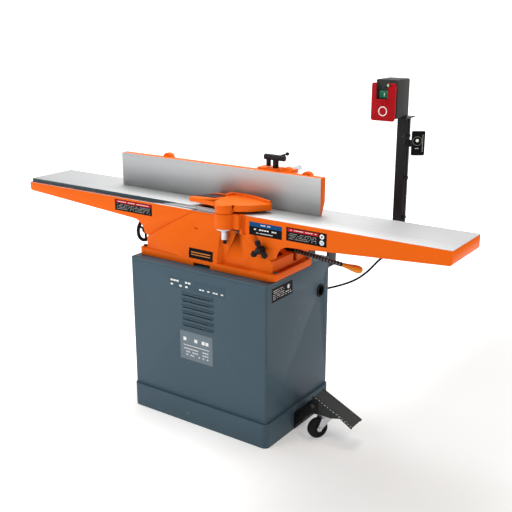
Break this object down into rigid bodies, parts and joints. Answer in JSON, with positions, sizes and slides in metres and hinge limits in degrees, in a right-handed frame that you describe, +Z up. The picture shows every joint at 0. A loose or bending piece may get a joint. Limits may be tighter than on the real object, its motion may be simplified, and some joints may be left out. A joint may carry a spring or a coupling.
{
  "type": "jointer",
  "caption": "Closed-stand woodworking jointer: long outfeed and infeed tables on inclined ways, four-knife head, tilting fence, sprung guard, pedestal switch, pedal caster",
  "frame": {"origin": "centre of the stand's footprint, on the floor", "axes": "+X towards the infeed (operator's right) end along the tables, -Y towards the operator, +Z up"},
  "size_m": [1.829, 0.4929, 1.266],
  "materials": {
    "grey_sheet": "satin powder coat",
    "orange_cast": "enamelled casting, tops ground bright",
    "black_plastic": "fine moulded grain",
    "zinc": "zinc plated",
    "black_rubber": "matt",
    "dark_steel": "black enamel",
    "machined_steel": "turned and ground",
    "knife_steel": "ground edge",
    "gib_steel": "blackened",
    "orange_grip": "moulded grip",
    "lamp_green": "lens",
    "button_green": "moulded key",
    "paddle_red": "moulded paddle",
    "sign_black": "printed plate",
    "pedal_grey": "worn enamel",
    "tyre_black": "solid tyre"
  },
  "bodies": {
    "stand": {"cabinet_shell": "grey_sheet", "cabinet_top": "grey_sheet", "plinth": "grey_sheet", "rear_panel": "grey_sheet", "panel_screws": "zinc", "dust_port": "black_plastic", "chip_chute": "dark_steel", "side_grommet": "black_rubber", "cable_gland": "black_rubber", "base_casting": "orange_cast", "base_bolts": "dark_steel", "bearing_housings": "machined_steel", "ball_bearings": "machined_steel", "table_gibs": "machined_steel", "motor": "dark_steel", "motor_bracket": "dark_steel", "drive_belt": "black_rubber", "belt_guard": "black_plastic", "guard_spring_cup": "zinc", "guard_cap": "black_plastic", "fence_support": "orange_cast", "switch_post": "dark_steel", "switch_box": "black_plastic", "switch_lamp": "lamp_green", "sign_plate": "sign_black", "cable_clips": "black_plastic", "motor_cable": "black_rubber", "pedal_bracket": "dark_steel", "pedal_pin": "machined_steel", "wheel_axles": "dark_steel"},
    "outfeed": {"outfeed_table": "orange_cast"},
    "lift": {"lift_screw": "machined_steel", "handwheel": "dark_steel"},
    "infeed": {"infeed_table": "orange_cast"},
    "lever": {"infeed_lever": "dark_steel", "lever_grip": "orange_grip"},
    "lock": {"infeed_lock": "black_plastic"},
    "cutter": {"cutterhead": "machined_steel", "knives": "knife_steel", "knife_gibs": "gib_steel", "cutterhead_pulley": "machined_steel"},
    "rotor": {"motor_pulley": "machined_steel"},
    "guard_arm": {"guard": "orange_cast", "guard_post": "machined_steel"},
    "carriage": {"fence_carriage": "orange_cast", "tilt_quadrant": "machined_steel"},
    "fence_body": {"fence": "orange_cast", "hinge_pins": "machined_steel", "fence_handle": "machined_steel"},
    "tilt_lever": {"fence_lock": "black_plastic"},
    "button": {"start_button": "button_green"},
    "paddle": {"stop_paddle": "paddle_red"},
    "pedal": {"foot_pedal": "pedal_grey", "caster_plate": "zinc"},
    "caster": {"caster_fork": "zinc"},
    "wheel_caster": {"caster_wheel": "tyre_black"},
    "wheel_front": {"front_wheel": "tyre_black"},
    "wheel_rear": {"rear_wheel": "tyre_black"}
  },
  "joints": [
    {"name": "handwheel_turn", "type": "hinge", "parent": "stand", "child": "lift", "pos_m": [-0.338, -0.088, 0.677], "axis": [1, 0, 0], "range_deg": [0, 1440]},
    {"name": "outfeed_slide", "type": "slide", "parent": "stand", "child": "outfeed", "axis": [-0.866, 0, -0.5], "range_m": [0, 0.016]},
    {"name": "infeed_lever_turn", "type": "hinge", "parent": "stand", "child": "lever", "pos_m": [0.24, 0, 0.681], "axis": [0, 1, 0], "range_deg": [0, 25]},
    {"name": "infeed_slide", "type": "slide", "parent": "stand", "child": "infeed", "axis": [0.866, 0, -0.5], "range_m": [0, 0.0255]},
    {"name": "infeed_lock_turn", "type": "hinge", "parent": "infeed", "child": "lock", "pos_m": [0.247, -0.169, 0.711], "axis": [0, 1, 0], "range_deg": [0, 120]},
    {"name": "cutterhead_spin", "type": "hinge", "parent": "stand", "child": "cutter", "pos_m": [0.005, 0, 0.7794], "axis": [0, 1, 0], "continuous": true},
    {"name": "motor_spin", "type": "hinge", "parent": "stand", "child": "rotor", "pos_m": [0.15, 0.118, 0.35], "axis": [0, 1, 0], "continuous": true},
    {"name": "guard_swing", "type": "hinge", "parent": "stand", "child": "guard_arm", "pos_m": [0.095, -0.157, 0.827], "axis": [0, 0, 1], "range_deg": [0, 24], "stiffness_Nm_per_rad": 0.6},
    {"name": "fence_slide", "type": "slide", "parent": "stand", "child": "carriage", "axis": [0, 1, 0], "range_m": [0, 0.084]},
    {"name": "fence_tilt", "type": "hinge", "parent": "carriage", "child": "fence_body", "pos_m": [0, -0.002, 0.8305], "axis": [-1, 0, 0], "range_deg": [0, 45]},
    {"name": "tilt_lock_turn", "type": "hinge", "parent": "fence_body", "child": "tilt_lever", "pos_m": [0.181, 0.03, 0.97], "axis": [0, 0, 1], "range_deg": [0, 60]},
    {"name": "button_press", "type": "slide", "parent": "stand", "child": "button", "axis": [0, 1, 0], "range_m": [0, 0.003], "stiffness_N_per_m": 600},
    {"name": "paddle_press", "type": "hinge", "parent": "stand", "child": "paddle", "pos_m": [0.53, 0.1496, 1.244], "axis": [1, 0, 0], "range_deg": [0, 5], "stiffness_Nm_per_rad": 2},
    {"name": "pedal_press", "type": "hinge", "parent": "stand", "child": "pedal", "pos_m": [0.394, 0.0075, 0.121], "axis": [0, 1, 0], "range_deg": [0, 5]},
    {"name": "caster_swivel", "type": "hinge", "parent": "pedal", "child": "caster", "pos_m": [0.43, -0.006, 0.082], "axis": [0, 0, 1], "continuous": true},
    {"name": "caster_roll", "type": "hinge", "parent": "caster", "child": "wheel_caster", "pos_m": [0.41301, -0.03603, 0.0395], "axis": [0.8704, -0.4924, 0], "continuous": true},
    {"name": "front_wheel_roll", "type": "hinge", "parent": "stand", "child": "wheel_front", "pos_m": [-0.262, -0.15, 0.0265], "axis": [0, 1, 0], "continuous": true},
    {"name": "rear_wheel_roll", "type": "hinge", "parent": "stand", "child": "wheel_rear", "pos_m": [-0.262, 0.15, 0.0265], "axis": [0, 1, 0], "continuous": true}
  ],
  "couplings": [
    {"joint": "handwheel_turn", "follows": "outfeed_slide", "rad_per_m": 1570.8},
    {"joint": "infeed_slide", "follows": "infeed_lever_turn", "m_per_rad": 0.0582},
    {"joint": "motor_spin", "follows": "cutterhead_spin", "ratio": 0.64}
  ]
}
